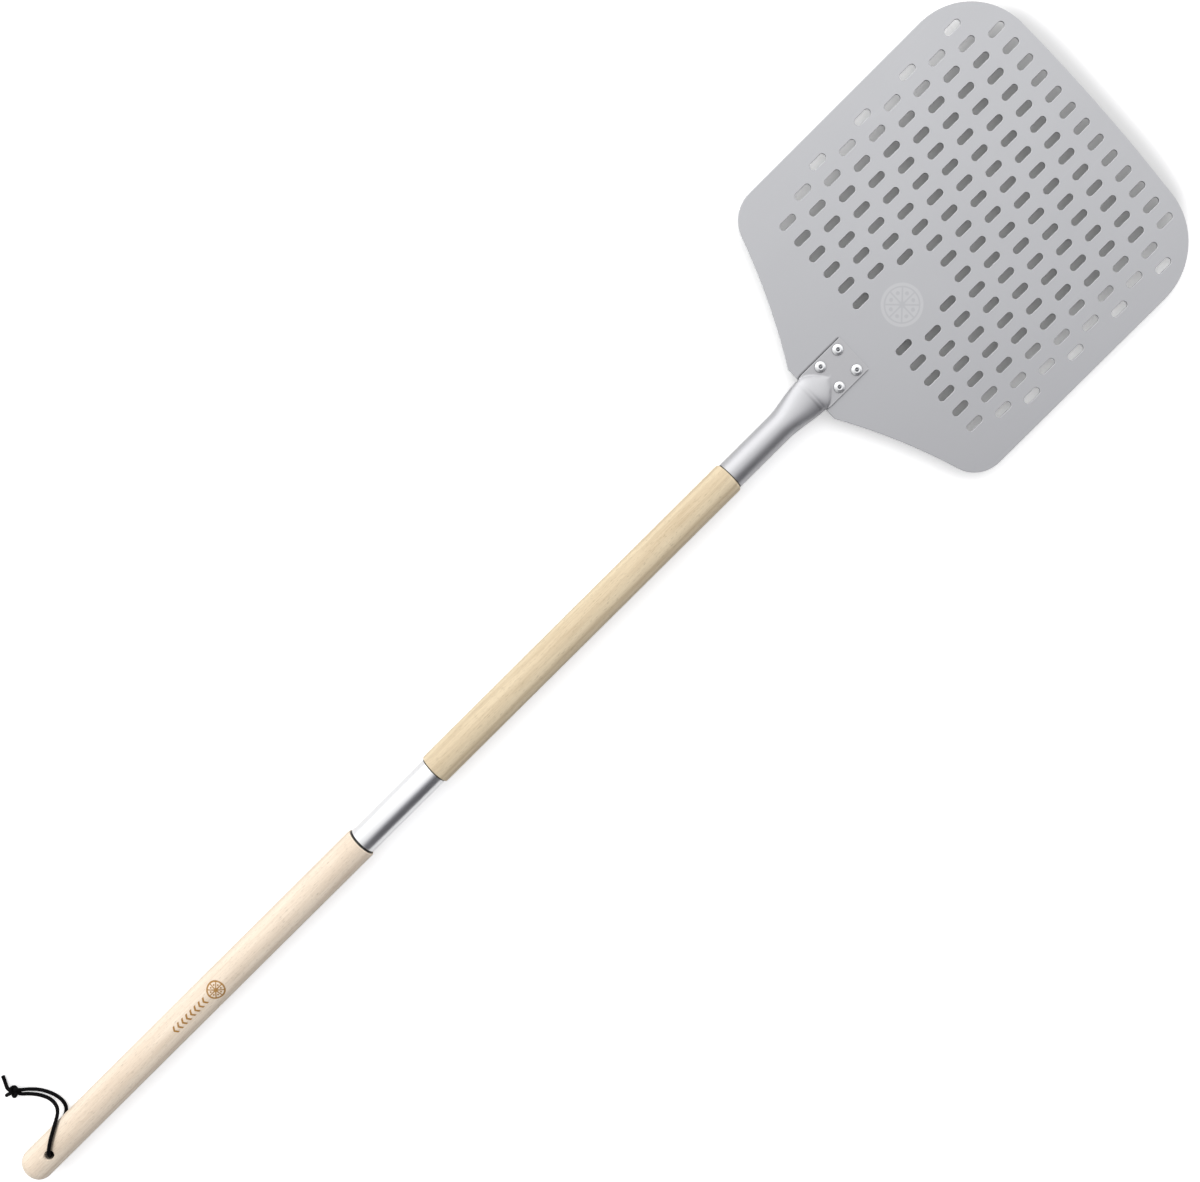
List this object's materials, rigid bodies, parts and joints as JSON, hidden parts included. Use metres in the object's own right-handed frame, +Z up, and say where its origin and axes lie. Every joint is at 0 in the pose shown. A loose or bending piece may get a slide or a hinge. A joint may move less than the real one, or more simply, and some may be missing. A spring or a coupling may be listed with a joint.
{
  "type": "pizza peel",
  "caption": "Long-handled perforated metal pizza peel with a flat slotted blade, riveted tube socket, two-piece screw-together wooden handle and leather hanging cord.",
  "frame": {"origin": "centre of the box at its lowest level, on the surface that the wooden handle rests on, measured without the hanging cord", "axes": "+Y along the handle from its end towards the blade's far edge, +Z up out of the blade's upper face, +X across the blade"},
  "size_m": [0.305, 1.2512, 0.0312],
  "materials": {
    "blade_aluminium": "fine satin, anodised",
    "tube_aluminium": "satin, drawn tube",
    "rivet_metal": "bright, pressed",
    "ferrule_metal": "polished",
    "screw_steel": "zinc plated",
    "stud_steel": "machined",
    "bush_brass": "machined",
    "washer_nylon": "black, matt",
    "upper_wood": "sanded beech, warm, sealed matt",
    "lower_wood": "sanded beech, pale, sealed matt",
    "cord_leather": "black, round, matt"
  },
  "bodies": {
    "peel": {"blade": "blade_aluminium", "socket_tube": "tube_aluminium", "rivet_1": "rivet_metal", "rivet_2": "rivet_metal", "rivet_3": "rivet_metal", "rivet_4": "rivet_metal", "rivet_mandrel_1": "screw_steel", "rivet_mandrel_2": "screw_steel", "rivet_mandrel_3": "screw_steel", "rivet_mandrel_4": "screw_steel", "upper_handle": "upper_wood", "socket_screw": "screw_steel", "ferrule": "ferrule_metal", "ferrule_screw": "screw_steel", "thread_bush": "bush_brass"},
    "joint_washer": {"joint_washer": "washer_nylon"},
    "lower_handle": {"lower_handle": "lower_wood", "handle_stud": "stud_steel", "cord_upper_leg": "cord_leather", "cord_lower_leg": "cord_leather", "cord_knot": "cord_leather", "cord_tail_long": "cord_leather", "cord_tail_short": "cord_leather"}
  },
  "joints": [
    {"name": "handle_draw", "type": "slide", "parent": "peel", "child": "joint_washer", "axis": [0, -1, 0], "range_m": [0, 0.0221]},
    {"name": "handle_turn", "type": "hinge", "parent": "joint_washer", "child": "lower_handle", "pos_m": [0, -0.232, 0.014], "axis": [0, -1, 0], "range_deg": [0, 1980]}
  ],
  "couplings": [
    {"joint": "handle_draw", "follows": "handle_turn", "m_per_rad": 0.00063662}
  ]
}
